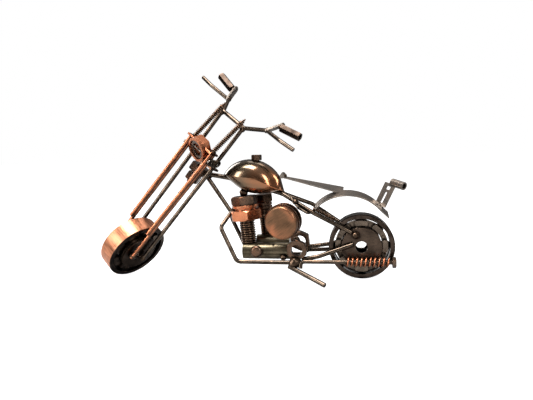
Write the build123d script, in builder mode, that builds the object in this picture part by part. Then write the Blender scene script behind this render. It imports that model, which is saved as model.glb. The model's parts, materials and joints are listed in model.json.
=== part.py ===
from build123d import *
import os
from math import cos, radians, sin, sqrt

# Chopper motorcycle ornament, welded from bearings, nuts, bolts, washers and wire.
# Millimetres. Origin on the rear axle, X to the rear, Y to the bike's right, Z up.

# --- driving dimensions -------------------------------------------------------------
WHEEL_R = 23.5            # both wheels are 47 x 20 x 14 ball bearings
WHEEL_WIDTH = 14.0
BORE_R = 10.0
OUTER_SHOULDER_R = 20.2   # inner wall of the outer ring, beside the ball groove
INNER_SHOULDER_R = 14.4   # outer wall of the inner ring, beside the ball groove
BALL_R = 3.97
BALLS = 8
PITCH_R = 16.75
PLAY = 0.09               # running clearance around each ball
CAGE_INNER_R = 14.8
CAGE_OUTER_R = 18.9
CAGE_WALL = 0.8
POCKET_R = 4.5
CAGE_RIBBON = 2.0
CAGE_LIP = 0.2            # the pockets stand this far inside the ribbon's edges
RIVET_R = 0.9

WIRE_R = 1.6              # frame and fork wire, 3.2 mm
WIRE_BEND = 4.5
WASHER_T = 1.5
HUB_WASHER_R = 14.1
HUB_HOLE_R = 4.2          # clears an 8 mm bolt
STAY_Y = WHEEL_WIDTH / 2 + WASHER_T + WIRE_R   # stays lie on the hub washers

RAKE = 38.4               # steering axis, degrees back from upright
STEER = 67.2              # the fork rests turned this far to the bike's left
FORK_DROP = 75.0          # neck down to the front axle, along the steering axis
FORK_LEAD = 12.0          # front axle ahead of the steering axis
NECK_X = -123.75
LEG_FOOT_Y = 11.2         # fork legs, half their spacing at the axle
LEG_TOP_Y = 12.3          # and at the handlebar
STEM_R = 3.0
STEM_PLAY = 0.05

RAIL_Y = 14.0             # lower rails, half their spacing
RAIL_Z = -10.5
ENGINE_LEAN = 5.0         # both cylinders lean forward, degrees

FLOOR = -WHEEL_R

# --- the raked and turned fork ------------------------------------------------------
steer_axis = Vector(sin(radians(RAKE)), 0, cos(radians(RAKE)))
straight_ahead = Vector(-cos(radians(RAKE)), 0, sin(radians(RAKE)))
heading = straight_ahead * cos(radians(STEER)) + Vector(0, -1, 0) * sin(radians(STEER))
fork_side = steer_axis.cross(heading)
side_rise = abs(fork_side.Z)
wheel_reach = WHEEL_R * sqrt(1 - side_rise**2) + WHEEL_WIDTH / 2 * side_rise
NECK_Z = FLOOR + wheel_reach + FORK_DROP * steer_axis.Z - FORK_LEAD * heading.Z
FORK = Plane(origin=(NECK_X, 0, NECK_Z), x_dir=heading, z_dir=steer_axis)

REAR_AXLE = Plane(origin=(0, 0, 0), x_dir=(0, 0, 1), z_dir=(0, -1, 0))
front_axle_centre = FORK.from_local_coords((FORK_LEAD, 0, -FORK_DROP))
FRONT_AXLE = Plane(origin=front_axle_centre, x_dir=steer_axis, z_dir=fork_side)

LEFT, RIGHT = 1, -1
SIDES = (("left", LEFT), ("right", RIGHT))

os.makedirs("parts", exist_ok=True)


def save(piece, name):
    """Label a finished piece and write it."""
    piece.part.label = name
    export_step(piece.part, f"parts/{name}.step")


def on_fork(forward, left, up):
    """A point given ahead of, left of and up along the steering axis."""
    return FORK.from_local_coords((forward, left, up))


def bent_wire(points, radius=WIRE_R, bend=WIRE_BEND):
    """Round wire: straight runs joined by tangent bends."""
    with BuildPart() as wire:
        with BuildLine() as route:
            if len(points) > 2:
                FilletPolyline(*points, radius=bend)
            else:
                Line(*points)
        with BuildSketch(Plane(origin=route.line @ 0, z_dir=route.line % 0)):
            Circle(radius)
        sweep()
    return wire.part


def disc(plane, radius, start, height, hole=0.0):
    """Washer, pin or tube standing on a plane, from start, height tall."""
    with BuildPart() as body:
        with BuildSketch(plane.offset(start)):
            Circle(radius)
            if hole:
                Circle(hole, mode=Mode.SUBTRACT)
        extrude(amount=height)
    return body.part


def hexagon(plane, across_flats, start, height, hole=0.0, turn=0.0, crown=0.12):
    """Hex nut or bolt head with its corners turned off at both ends."""
    cut = crown * across_flats / 2
    with BuildPart() as body:
        with BuildSketch(plane.offset(start)):
            Circle(across_flats / sqrt(3))
        extrude(amount=height)
        chamfer(body.edges().filter_by(GeomType.CIRCLE), cut)
        with BuildSketch(plane.offset(start)):
            RegularPolygon(across_flats / 2, 6, major_radius=False, rotation=turn)
        extrude(amount=height, mode=Mode.INTERSECT)
        if hole:
            with BuildSketch(plane.offset(start)):
                Circle(hole)
            extrude(amount=height, mode=Mode.SUBTRACT)
    return body.part


def threaded_bar(plane, radius, start, height, pitch, point=0.0):
    """Bar with ring threads of the given pitch, and a pointed tip if asked."""
    root = radius - 0.61 * pitch
    turns = int((height - point) / pitch)
    flank = [(root, 0)]
    for turn in range(turns):
        flank.append((radius, (turn + 0.4) * pitch))
        flank.append((radius, (turn + 0.6) * pitch))
        flank.append((root, (turn + 1) * pitch))
    tip = [(0, height)] if point else [(root, height), (0, height)]
    profile_plane = Plane(origin=plane.offset(start).origin, x_dir=plane.x_dir, z_dir=-plane.y_dir)
    with BuildPart() as body:
        with BuildSketch(profile_plane):
            with BuildLine():
                Polyline((0, 0), *flank, *tip, close=True)
            make_face()
        revolve(axis=Axis(plane.origin, plane.z_dir))
    return body.part


# --- ball bearings used as wheels ---------------------------------------------------
def outer_ring(axle):
    with BuildPart(axle) as ring:
        Cylinder(WHEEL_R, WHEEL_WIDTH)
        chamfer(ring.edges().filter_by(GeomType.CIRCLE), 0.6)
        Cylinder(OUTER_SHOULDER_R, WHEEL_WIDTH, mode=Mode.SUBTRACT)
        Torus(PITCH_R, BALL_R + PLAY, mode=Mode.SUBTRACT)
    return ring.part


def inner_ring(axle):
    with BuildPart(axle) as ring:
        Cylinder(INNER_SHOULDER_R, WHEEL_WIDTH)
        Cylinder(BORE_R, WHEEL_WIDTH, mode=Mode.SUBTRACT)
        Torus(PITCH_R, BALL_R + PLAY, mode=Mode.SUBTRACT)
    return ring.part


def ball_cage(axle):
    """Two pressed ribbons riveted together, with a flat-topped pocket over each ball."""
    pocket_r = BALL_R + PLAY
    with BuildPart() as cage:
        with BuildSketch(axle):
            Circle(CAGE_OUTER_R)
            Circle(CAGE_INNER_R, mode=Mode.SUBTRACT)
        extrude(amount=CAGE_RIBBON / 2, both=True)
        with BuildSketch(axle):
            with PolarLocations(PITCH_R, BALLS):
                Circle(POCKET_R)
            Circle(CAGE_OUTER_R - CAGE_LIP, mode=Mode.INTERSECT)
            Circle(CAGE_INNER_R + CAGE_LIP, mode=Mode.SUBTRACT)
        extrude(amount=pocket_r + CAGE_WALL, both=True)
        with BuildSketch(axle):
            with PolarLocations(PITCH_R, BALLS):
                Circle(pocket_r)
        extrude(amount=pocket_r, both=True, mode=Mode.SUBTRACT)
        with BuildSketch(axle):
            with PolarLocations(PITCH_R, BALLS, start_angle=180 / BALLS):
                Circle(RIVET_R)
        extrude(amount=CAGE_RIBBON / 2 + 0.6, both=True)
    return cage.part


def ball_set(axle):
    with BuildPart(axle) as balls:
        with PolarLocations(PITCH_R, BALLS):
            Sphere(BALL_R)
    return balls.part


for end, axle in (("rear", REAR_AXLE), ("front", FRONT_AXLE)):
    with BuildPart() as bearing_outer:
        add(outer_ring(axle))
    save(bearing_outer, f"{end}_outer_ring")
    with BuildPart() as bearing_inner:
        add(inner_ring(axle))
    save(bearing_inner, f"{end}_inner_ring")
    with BuildPart() as bearing_cage:
        add(ball_cage(axle))
    save(bearing_cage, f"{end}_cage")
    with BuildPart() as bearing_balls:
        add(ball_set(axle))
    save(bearing_balls, f"{end}_balls")
    with BuildPart() as hub_washers:
        for side in (LEFT, RIGHT):
            start = WHEEL_WIDTH / 2 if side == LEFT else -WHEEL_WIDTH / 2 - WASHER_T
            add(disc(axle, HUB_WASHER_R, start, WASHER_T, HUB_HOLE_R))
    save(hub_washers, f"{end}_hub_washers")

# --- frame wires --------------------------------------------------------------------
with BuildPart() as down_tube:
    add(bent_wire([(-115.2, 0, 51.8), (-96.2, 0, 22.8)]))
save(down_tube, "down_tube")

# Each backbone wire runs under the tank, spreads and becomes the upper stay.
LEFT_BACKBONE = [(-114.8, -1.8, 54.2), (-98, -1.8, 51), (-57, -1.8, 38.4),
                 (-34, -STAY_Y, 25.2), (-7, -STAY_Y, 11.0)]
RIGHT_BACKBONE = [(-114.8, 1.8, 54.2), (-98, 1.8, 51), (-57, 1.8, 38.4),
                  (-36, STAY_Y, 29.4), (-8, STAY_Y, 10.2)]
with BuildPart() as backbone_wires:
    for points in (LEFT_BACKBONE, RIGHT_BACKBONE):
        add(bent_wire(points))
save(backbone_wires, "backbone_wires")

LEFT_RAIL = [(-96.5, -3.4, 25.2), (-102.4, -RAIL_Y, 15.3),
             (-90.8, -RAIL_Y, RAIL_Z), (-43.5, -RAIL_Y, RAIL_Z)]
RIGHT_RAIL = [(-96.5, 3.4, 25.2), (-100.5, 11.5, 18.8),
              (-87.5, RAIL_Y - 1, RAIL_Z), (-45, RAIL_Y - 1, RAIL_Z)]
with BuildPart() as lower_rails:
    for points in (LEFT_RAIL, RIGHT_RAIL):
        add(bent_wire(points))
save(lower_rails, "lower_rails")

LEFT_CHAIN_STAY = [(-43, -STAY_Y, -8.9), (-31, -STAY_Y, -6.8), (-6, -STAY_Y, 2.4)]
RIGHT_CHAIN_STAY = [(-41, STAY_Y, -3.9), (-24, STAY_Y, -1.6), (-6, STAY_Y, 3.4)]
with BuildPart() as chain_stays:
    for points in (LEFT_CHAIN_STAY, RIGHT_CHAIN_STAY):
        add(bent_wire(points, bend=20))
save(chain_stays, "chain_stays")

STAY_ROD = Plane(origin=(-34.5, -4.6, 27.6), z_dir=(16.5, -1.0, -8.6))
with BuildPart() as threaded_stay:
    add(threaded_bar(STAY_ROD, 1.5, 0, 17.5, 0.9))
save(threaded_stay, "threaded_stay")

# --- fender, seat and sissy bar -----------------------------------------------------
REAR_ROLL = 12.5          # fender and seat lean over to the left, degrees
FENDER_HALF = 6.4
FENDER_T = 0.9
roll_out = Vector(0, -cos(radians(REAR_ROLL)), -sin(radians(REAR_ROLL)))
FENDER = Plane(origin=(0, 0, 1.0), x_dir=(1, 0, 0), z_dir=roll_out)
with BuildPart() as fender:
    with BuildSketch(FENDER.offset(-FENDER_HALF)):
        with BuildLine():
            crest = ThreePointArc((-32.2, 28.8), (-10, 38.6), (12.6, 27.6))
            tail = Line(crest @ 1, (18.4, 22.0))
            offset(amount=FENDER_T, side=Side.LEFT)
        make_face()
    extrude(amount=2 * FENDER_HALF)
save(fender, "fender")

STRUT = [(-50.5, -5.5, 36.2), (-44.5, -10.2, 28.9), (-38, -9, 24.9), (-34, -4.5, 25.6), (-31.6, -2, 28.4)]
with BuildPart() as fender_strut:
    add(bent_wire(STRUT, radius=1.1, bend=2.4))
save(fender_strut, "fender_strut")

SEAT_NOSE = Vector(-56.0, 0, 51.2)
SEAT_TAIL = Vector(-12.6, 0, 40.6)
SEAT_T = 0.9
seat_run = (SEAT_TAIL - SEAT_NOSE).length
seat_across = (SEAT_TAIL - SEAT_NOSE).cross(roll_out.cross(SEAT_TAIL - SEAT_NOSE))
SEAT = Plane(origin=SEAT_NOSE, x_dir=SEAT_TAIL - SEAT_NOSE, z_dir=(SEAT_TAIL - SEAT_NOSE).cross(seat_across))
with BuildPart() as seat_plate:
    with BuildSketch(SEAT):
        with BuildLine():
            Polyline((0, -1.6), (seat_run, -8.2), (seat_run, 8.2), (0, 1.6), close=True)
        make_face()
    extrude(amount=SEAT_T)
    add(disc(Plane(origin=SEAT_NOSE + Vector(-1.0, 0, 1.0), z_dir=SEAT.y_dir), 1.7, -3.2, 6.4))
save(seat_plate, "seat_plate")

# A perforated strap stands off the fender, turned about its own length.
STRAP_FOOT = Vector(13.6, 0, 28.6)
STRAP_TOP = Vector(24.6, -1.6, 42.4)
STRAP_ACROSS = Vector(0.66, -0.72, -0.21)
strap_up = (STRAP_TOP - STRAP_FOOT).normalized()
strap_face = STRAP_ACROSS.cross(strap_up).normalized()
strap_length = (STRAP_TOP - STRAP_FOOT).length
STRAP = Plane(origin=STRAP_FOOT, x_dir=STRAP_ACROSS, z_dir=strap_face)
STRAP_W = 9.8
STRAP_T = 1.1
ROLL = Plane(origin=STRAP_TOP + strap_up * 2.2 + strap_face * 0.4, z_dir=STRAP_ACROSS)
with BuildPart() as sissy_strap:
    with BuildSketch(STRAP):
        with Locations((0, strap_length / 2)):
            Rectangle(STRAP_W, strap_length)
        with Locations((0, strap_length * 0.38)):
            SlotOverall(strap_length * 0.5, 2.2, rotation=90, mode=Mode.SUBTRACT)
        with Locations((0, strap_length * 0.8)):
            Rectangle(3.6, 2.6, mode=Mode.SUBTRACT)
    extrude(amount=STRAP_T)
    add(disc(ROLL, 2.9, -5.4, 10.8, 1.9))
save(sissy_strap, "sissy_strap")

# --- fuel tank: two pressed domes on a seam plate -----------------------------------
TANK_NOSE = (-102.0, 53.4)
TANK_UPPER = [(-97.0, 59.6), (-89.2, 63.6), (-81.0, 64.7), (-72.3, 62.8), (-62.0, 55.4)]
TANK_TAIL_TOP = (-58.4, 49.8)
TANK_TAIL_FOOT = (-56.0, 40.2)
TANK_LOWER = [(-66.0, 39.0), (-76.0, 38.6), (-84.6, 40.2), (-92.0, 44.6)]
TANK_CENTRE = (-77.0, 51.0)
SEAM_T = 1.2
TANK_DEPTH = 13.5
TANK_SHEET = 0.8


def tank_outline(scale):
    """The teardrop side view, shrunk towards the middle of the tank."""
    def place(point):
        across = TANK_CENTRE[0] + (point[0] - TANK_CENTRE[0]) * scale
        height = TANK_CENTRE[1] + (point[1] - TANK_CENTRE[1]) * scale
        return (across, height)
    top = [place(point) for point in [TANK_NOSE, *TANK_UPPER, TANK_TAIL_TOP]]
    base = [place(point) for point in [TANK_TAIL_FOOT, *TANK_LOWER, TANK_NOSE]]
    with BuildLine() as outline:
        Spline(*top)
        Line(top[-1], base[0])
        Spline(*base)
    return outline.line


def tank_dome(side, inset):
    """A dome from the seam outwards; inset makes its inner wall."""
    with BuildPart() as dome:
        for share in (0.0, 0.38, 0.66, 0.86, 0.97):
            depth = SEAM_T / 2 + share * (TANK_DEPTH - inset)
            flare = sqrt(1 - share**2) * (1 - inset / 14)
            with BuildSketch(Plane.XZ.offset(side * depth)):
                add(tank_outline(flare * 0.97))
                make_face()
        loft()
    return dome.part


for name, side in SIDES:
    with BuildPart() as tank_half:
        add(tank_dome(side, 0.0))
        add(tank_dome(side, TANK_SHEET), mode=Mode.SUBTRACT)
    save(tank_half, f"fuel_tank_{name}")

with BuildPart() as tank_seam_plate:
    with BuildSketch(Plane.XZ.offset(-SEAM_T / 2)):
        add(tank_outline(1.0))
        make_face()
    extrude(amount=SEAM_T)
save(tank_seam_plate, "tank_seam_plate")

CAP = Plane(origin=(-76.4, 0, 63.7), x_dir=(1, 0.3, 0), z_dir=(0, 0, 1))
with BuildPart() as fuel_cap:
    add(hexagon(CAP, 6.8, 0, 4.2))
save(fuel_cap, "fuel_cap")

# --- engine -------------------------------------------------------------------------
CRANK_Y = -2.0
CRANK_Z = -4.5
CRANK_R = 6.3
CRANK = Plane(origin=(-88.0, CRANK_Y, CRANK_Z), z_dir=(1, 0, 0))
with BuildPart() as crankcase:
    add(disc(CRANK, CRANK_R, 0, 36.5))
    with Locations(Plane(origin=(-64.5, CRANK_Y, CRANK_Z), z_dir=(0, -0.62, 0.78))):
        Cylinder(0.8, 2 * CRANK_R, mode=Mode.SUBTRACT)
save(crankcase, "crankcase")

GEARBOX = Plane(origin=(-80.0, 12.0, -0.6), z_dir=(1, 0, 0))
with BuildPart() as gearbox:
    add(disc(GEARBOX, 5.9, 0, 26.0))
save(gearbox, "gearbox")

RIVET_BASE = Plane(origin=(-76.6, CRANK_Y - CRANK_R - 0.9, -3.7), z_dir=(0, -1, 0))
with BuildPart() as crankcase_rivet:
    with BuildSketch(RIVET_BASE):
        Circle(4.7)
    extrude(amount=3.0)
    fillet(crankcase_rivet.faces().sort_by(Axis.Y)[0].edges(), 2.4)
    add(disc(RIVET_BASE, 1.6, -1.4, 1.4))
save(crankcase_rivet, "crankcase_rivet")

lean = Vector(-sin(radians(ENGINE_LEAN)), 0, cos(radians(ENGINE_LEAN)))
FRONT_CYLINDER = Plane(origin=(-83.9, 0, 1.4), x_dir=(0, 1, 0), z_dir=lean)
HEAD_START = 29.2
with BuildPart() as front_cylinder_bolt:
    add(threaded_bar(FRONT_CYLINDER, 6.0, 0, HEAD_START, 1.75))
    add(hexagon(FRONT_CYLINDER, 18.0, HEAD_START, 6.6, turn=53))
save(front_cylinder_bolt, "front_cylinder_bolt")
with BuildPart() as front_cylinder_nut:
    add(hexagon(FRONT_CYLINDER, 22.0, 17.8, 7.6, hole=6.1, turn=17))
save(front_cylinder_nut, "front_cylinder_nut")
with BuildPart() as front_cylinder_washers:
    add(disc(FRONT_CYLINDER, 8.6, 25.5, 1.6, 6.1))
    add(disc(FRONT_CYLINDER, 10.0, 27.2, 1.9, 6.1))
save(front_cylinder_washers, "front_cylinder_washers")

REAR_CYLINDER = Plane(origin=(-72.5, 15.4, 4.4), x_dir=(0, 1, 0), z_dir=lean)
with BuildPart() as rear_cylinder_bolt:
    add(threaded_bar(REAR_CYLINDER, 5.0, 0, 26.6, 1.5))
    add(hexagon(REAR_CYLINDER, 14.0, 26.6, 6.0, turn=10))
save(rear_cylinder_bolt, "rear_cylinder_bolt")
with BuildPart() as rear_cylinder_washers:
    for layer in range(4):
        add(disc(REAR_CYLINDER, 6.5, 15.8 + 2.7 * layer, 2.0, 5.1))
save(rear_cylinder_washers, "rear_cylinder_washers")

AIR_CLEANER = Plane(origin=(-57.0, -20.0, 18.9), z_dir=(-0.25, -0.955, -0.13))
with BuildPart() as air_cleaner_cover:
    add(disc(AIR_CLEANER, 12.3, -4.6, 4.6))
    fillet(air_cleaner_cover.edges().filter_by(GeomType.CIRCLE).sort_by(Axis.Y)[0], 1.6)
save(air_cleaner_cover, "air_cleaner_cover")
with BuildPart() as air_cleaner_ring:
    add(disc(AIR_CLEANER, 13.0, -6.0, 1.3))
save(air_cleaner_ring, "air_cleaner_ring")
with BuildPart() as air_cleaner_base:
    add(disc(AIR_CLEANER, 6.0, -9.8, 3.7))
    add(disc(AIR_CLEANER, 12.6, -11.4, 1.6))
save(air_cleaner_base, "air_cleaner_base")

LEFT_NUT = Plane(origin=(-46.4, -6.4, -1.9), x_dir=(1, 0, 0), z_dir=(0, -1, 0))
RIGHT_NUT = Plane(origin=(-45.2, 2.0, 2.0), x_dir=(1, 0.0, 0.3), z_dir=(0, -1, 0))
with BuildPart() as drive_nuts:
    add(hexagon(LEFT_NUT, 13.6, 0, 6.5, hole=4.1, turn=34))
    add(hexagon(RIGHT_NUT, 13.6, -6.5, 6.5, hole=4.1, turn=20))
save(drive_nuts, "drive_nuts")

# --- exhaust and stand --------------------------------------------------------------
EXHAUST_Z = -9.4
EXHAUST_END = 20.6
with BuildPart() as left_exhaust_rod:
    hook = (-43.6, -RAIL_Y - 1.2, -14.6)
    elbow = (-43.2, -RAIL_Y, EXHAUST_Z - 0.4)
    add(bent_wire([hook, elbow, (EXHAUST_END, -RAIL_Y, EXHAUST_Z)], radius=1.5, bend=2.6))
    add(hexagon(Plane(origin=(EXHAUST_END, -RAIL_Y, EXHAUST_Z), z_dir=(1, 0, 0)), 7.0, 0, 2.6))
save(left_exhaust_rod, "left_exhaust_rod")

SPRING_PITCH = 3.05
SPRING_R = 3.15
SPRING_WIRE_R = 0.62
SPRING_START = Vector(-11.4, -RAIL_Y, EXHAUST_Z)
with BuildPart() as left_exhaust_spring:
    with BuildLine() as coil:
        Helix(SPRING_PITCH, 10 * SPRING_PITCH, SPRING_R, center=SPRING_START, direction=(1, 0, 0))
    with BuildSketch(Plane(origin=coil.line @ 0, z_dir=coil.line % 0)):
        Circle(SPRING_WIRE_R)
    sweep(is_frenet=True)
save(left_exhaust_spring, "left_exhaust_spring")

with BuildPart() as right_exhaust_rod:
    add(bent_wire([(-41, RAIL_Y, -7.2), (-24, RAIL_Y, -6.6), (6, RAIL_Y, -6.6)], bend=16))
save(right_exhaust_rod, "right_exhaust_rod")

STAND_R = 1.7
STAND_TOP = Vector(-52.0, -RAIL_Y + 0.6, -13.6)
STAND_RUN = Vector(26.6, -17.2, 0)
stand_slope = Vector(STAND_RUN.X, STAND_RUN.Y, -8.8)
foot_rise = STAND_R * sqrt(1 - stand_slope.normalized().Z**2)
STAND_FOOT = Vector(STAND_TOP.X + STAND_RUN.X, STAND_TOP.Y + STAND_RUN.Y, FLOOR + foot_rise)
with BuildPart() as kickstand:
    add(bent_wire([STAND_TOP, STAND_FOOT], radius=STAND_R))
save(kickstand, "kickstand")

# --- steering head ------------------------------------------------------------------
with BuildPart() as neck_nut:
    add(hexagon(FORK, 13.0, 0.2, 6.4, hole=STEM_R + STEM_PLAY, turn=30 - STEER, crown=0.07))
save(neck_nut, "neck_nut")

# Beads of weld metal where the frame's pieces meet.
FRAME_WELDS = [((-114.6, 0, 53.2), 3.4), ((-96.0, 0, 24.6), 3.0), ((-4.5, -STAY_Y + 0.4, 9.4), 3.0),
               ((-4.6, STAY_Y - 0.4, 8.6), 3.0), ((-48.6, -11.0, -9.2), 3.6), ((-57.0, -8.6, -8.4), 2.6),
               ((-42.0, STAY_Y, -5.4), 3.0), ((-57.6, 0, 39.0), 2.6),
               ((-31.8, -2.0, 28.2), 1.9), ((-47.0, -8.6, 33.0), 2.2), ((13.8, 0, 28.4), 2.0),
               ((-55.8, 0, 51.4), 1.8), ((-87.2, 0, 39.6), 3.2), ((-46.6, -0.8, 3.6), 2.6),
               ((-45.4, -13.8, -12.6), 2.8)]
with BuildPart() as frame_weld_beads:
    for centre, radius in FRAME_WELDS:
        with Locations(centre):
            Sphere(radius)
save(frame_weld_beads, "frame_weld_beads")

# --- fork ---------------------------------------------------------------------------
BRIDGE_UP = 10.8
with BuildPart() as stem_bolt:
    add(disc(FORK, STEM_R, -9.4, 9.4 + BRIDGE_UP))
    add(hexagon(FORK, 9.6, BRIDGE_UP + 1.6, 3.2))
    add(disc(FORK, STEM_R, BRIDGE_UP, 1.6))
save(stem_bolt, "stem_bolt")
with BuildPart() as lock_nut:
    add(hexagon(FORK, 10.0, -7.6, 6.0, hole=STEM_R, turn=30 - STEER, crown=0.07))
save(lock_nut, "lock_nut")

REAR_LEG_FOOT, REAR_LEG_TOP = (8.0, -79.4), (1.45, 46.8)
FRONT_LEG_FOOT, FRONT_LEG_TOP = (20.3, -77.6), (12.0, 21.6)
with BuildPart() as rear_fork_legs:
    for side in (LEFT, RIGHT):
        foot = on_fork(REAR_LEG_FOOT[0], side * LEG_FOOT_Y, REAR_LEG_FOOT[1])
        top = on_fork(REAR_LEG_TOP[0], side * LEG_TOP_Y, REAR_LEG_TOP[1])
        add(bent_wire([foot, top]))
save(rear_fork_legs, "rear_fork_legs")
with BuildPart() as front_fork_legs:
    for side in (LEFT, RIGHT):
        foot = on_fork(FRONT_LEG_FOOT[0], side * LEG_FOOT_Y, FRONT_LEG_FOOT[1])
        top = on_fork(FRONT_LEG_TOP[0], side * LEG_TOP_Y, FRONT_LEG_TOP[1])
        add(bent_wire([foot, top], radius=1.5))
save(front_fork_legs, "front_fork_legs")
with BuildPart() as fork_sleeves:
    for side in (LEFT, RIGHT):
        foot = on_fork(21.2, side * (LEG_FOOT_Y + 0.2), -54.7)
        top = on_fork(14.8, side * LEG_TOP_Y, 21.6)
        add(bent_wire([foot, top], radius=1.4))
save(fork_sleeves, "fork_sleeves")

CROWN_UP = 21.7
with BuildPart() as crown_plate:
    with BuildSketch(FORK.offset(CROWN_UP)):
        with Locations((13.4, 0)):
            Rectangle(9.0, 2 * LEG_TOP_Y + 3.4)
        with Locations((8.9, 0)):
            Rectangle(5.0, 7.0, mode=Mode.SUBTRACT)
    extrude(amount=1.5)
save(crown_plate, "crown_plate")
with BuildPart() as stem_bridge:
    with BuildSketch(FORK.offset(BRIDGE_UP)):
        with Locations((2.0, 0)):
            Rectangle(9.6, 2 * LEG_TOP_Y + 3.0)
        Circle(STEM_R, mode=Mode.SUBTRACT)
    extrude(amount=1.5)
save(stem_bridge, "stem_bridge")

LINK_T = 1.1
LINK_OUT = LEG_TOP_Y + 1.5
with BuildPart() as crown_links:
    for side in (LEFT, RIGHT):
        start = LINK_OUT if side == LEFT else -LINK_OUT - LINK_T
        link_plane = Plane(origin=on_fork(0, 0, 0), x_dir=heading, z_dir=fork_side).offset(start)
        with BuildSketch(link_plane):
            with Locations((8.4, -16.4)):
                SlotCenterToCenter(8.8, 5.6, rotation=6)
                with GridLocations(8.8, 1, 2, 1):
                    Circle(1.2, mode=Mode.SUBTRACT)
        extrude(amount=LINK_T)
save(crown_links, "crown_links")

SCREW_FOOT, SCREW_TIP = (13.0, 11.1, CROWN_UP + 1.5), (4.7, 11.8, 55.8)
with BuildPart() as fork_screws:
    for side in (LEFT, RIGHT):
        foot = on_fork(SCREW_FOOT[0], side * SCREW_FOOT[1], SCREW_FOOT[2])
        tip = on_fork(SCREW_TIP[0], side * SCREW_TIP[1], SCREW_TIP[2])
        screw = Plane(origin=foot, z_dir=tip - foot)
        add(threaded_bar(screw, 2.0, 0, (tip - foot).length, 1.45, point=4.0))
save(fork_screws, "fork_screws")

BAR_END = (-10.3, 23.0, 58.1)
BAR_CORNER = (0.2, 12.4, 49.6)
with BuildPart() as handlebar:
    left_half = [on_fork(*BAR_END), on_fork(*BAR_CORNER)]
    right_half = [on_fork(x, -y, z) for x, y, z in (BAR_CORNER, BAR_END)]
    add(bent_wire(left_half + right_half, bend=3.0))
save(handlebar, "handlebar")

LINK_END = (-16.1, 27.6, 68.0)
GRIP_START, GRIP_END = (-14.6, 29.4, 65.8), (-14.8, 46.2, 68.8)
LEVER_ROUTE = [(-9.6, 24.6, 58.0), (-4.6, 40.6, 58.6), (-5.6, 53.2, 59.4)]
with BuildPart() as bar_end_links:
    for side in (LEFT, RIGHT):
        foot = on_fork(BAR_END[0] + 0.4, side * BAR_END[1], BAR_END[2] - 0.4)
        tip = on_fork(LINK_END[0], side * LINK_END[1], LINK_END[2])
        along = (tip - foot).normalized()
        span = (tip - foot).length - 1.0
        with BuildSketch(Plane(origin=(foot + tip) / 2, x_dir=along, z_dir=heading.cross(along))):
            SlotCenterToCenter(span, 4.6)
            with Locations((span / 2, 0)):
                Circle(1.2, mode=Mode.SUBTRACT)
        extrude(amount=0.8, both=True)
save(bar_end_links, "bar_end_links")

for name, side in SIDES:
    with BuildPart() as grip:
        foot = on_fork(GRIP_START[0], side * GRIP_START[1], GRIP_START[2])
        tip = on_fork(GRIP_END[0], side * GRIP_END[1], GRIP_END[2])
        grip_length = (tip - foot).length
        grip_plane = Plane(origin=foot, x_dir=heading, z_dir=tip - foot)
        add(hexagon(grip_plane, 5.8, 0, grip_length, crown=0.1))
        add(disc(grip_plane, 1.9, grip_length - 5.0, 5.0), mode=Mode.SUBTRACT)
    save(grip, f"{name}_grip")
    with BuildPart() as lever:
        points = [on_fork(x, side * y, z) for x, y, z in LEVER_ROUTE]
        add(bent_wire(points, radius=1.5, bend=8.0))
    save(lever, f"{name}_lever")

lamp_way = heading * cos(radians(RAKE)) - steer_axis * sin(radians(RAKE))
LAMP = Plane(origin=on_fork(16.6, 0, 16.5), x_dir=fork_side, z_dir=lamp_way)
with BuildPart() as headlamp_nut:
    add(disc(LAMP, 9.1, -2.4, 2.4, 7.3))
    add(hexagon(LAMP, 16.6, -8.0, 5.6, hole=5.2, crown=0.04))
save(headlamp_nut, "headlamp_nut")
with BuildPart() as headlamp_washer:
    add(disc(LAMP, 7.2, -2.3, 1.3, 4.8))
    bar_end = LAMP.origin - lamp_way * 2.2 + fork_side * 5.0
    add(disc(Plane(origin=bar_end, z_dir=fork_side * -1), 0.7, 0, 10.0))
save(headlamp_washer, "headlamp_washer")

FORK_WELDS = [(REAR_LEG_FOOT[0] + 0.2, 10.6, -77.6, 2.4), (19.2, 10.6, -76.4, 2.6), (1.4, 12.4, 48.2, 2.3),
              (-10.4, 23.2, 58.2, 2.2), (-14.8, 28.2, 66.0, 2.0), (12.6, 11.6, 22.0, 2.4)]
with BuildPart() as fork_weld_beads:
    for forward, left, up, radius in FORK_WELDS:
        for side in (LEFT, RIGHT):
            with Locations(on_fork(forward, side * left, up)):
                Sphere(radius)
save(fork_weld_beads, "fork_weld_beads")
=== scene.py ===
# %% [markdown]
# # A chopper ornament welded from bearings, bolts and wire
# The real thing is scrap-metal art: two ball bearings are the wheels, bent wire is the frame, and nuts,
# bolts and washers are the engine. Everything was plated in one bath, blackened, and rubbed back by hand,
# so the lesson is about one plated finish seen on many shapes. The solids come from the CAD frame, in
# metres, with +Z up and the rear axle at the origin.

# %% Load the frame
import json
from math import cos, pi, radians, sin

import bmesh
import bpy
from mathutils import Matrix, Vector

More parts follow.
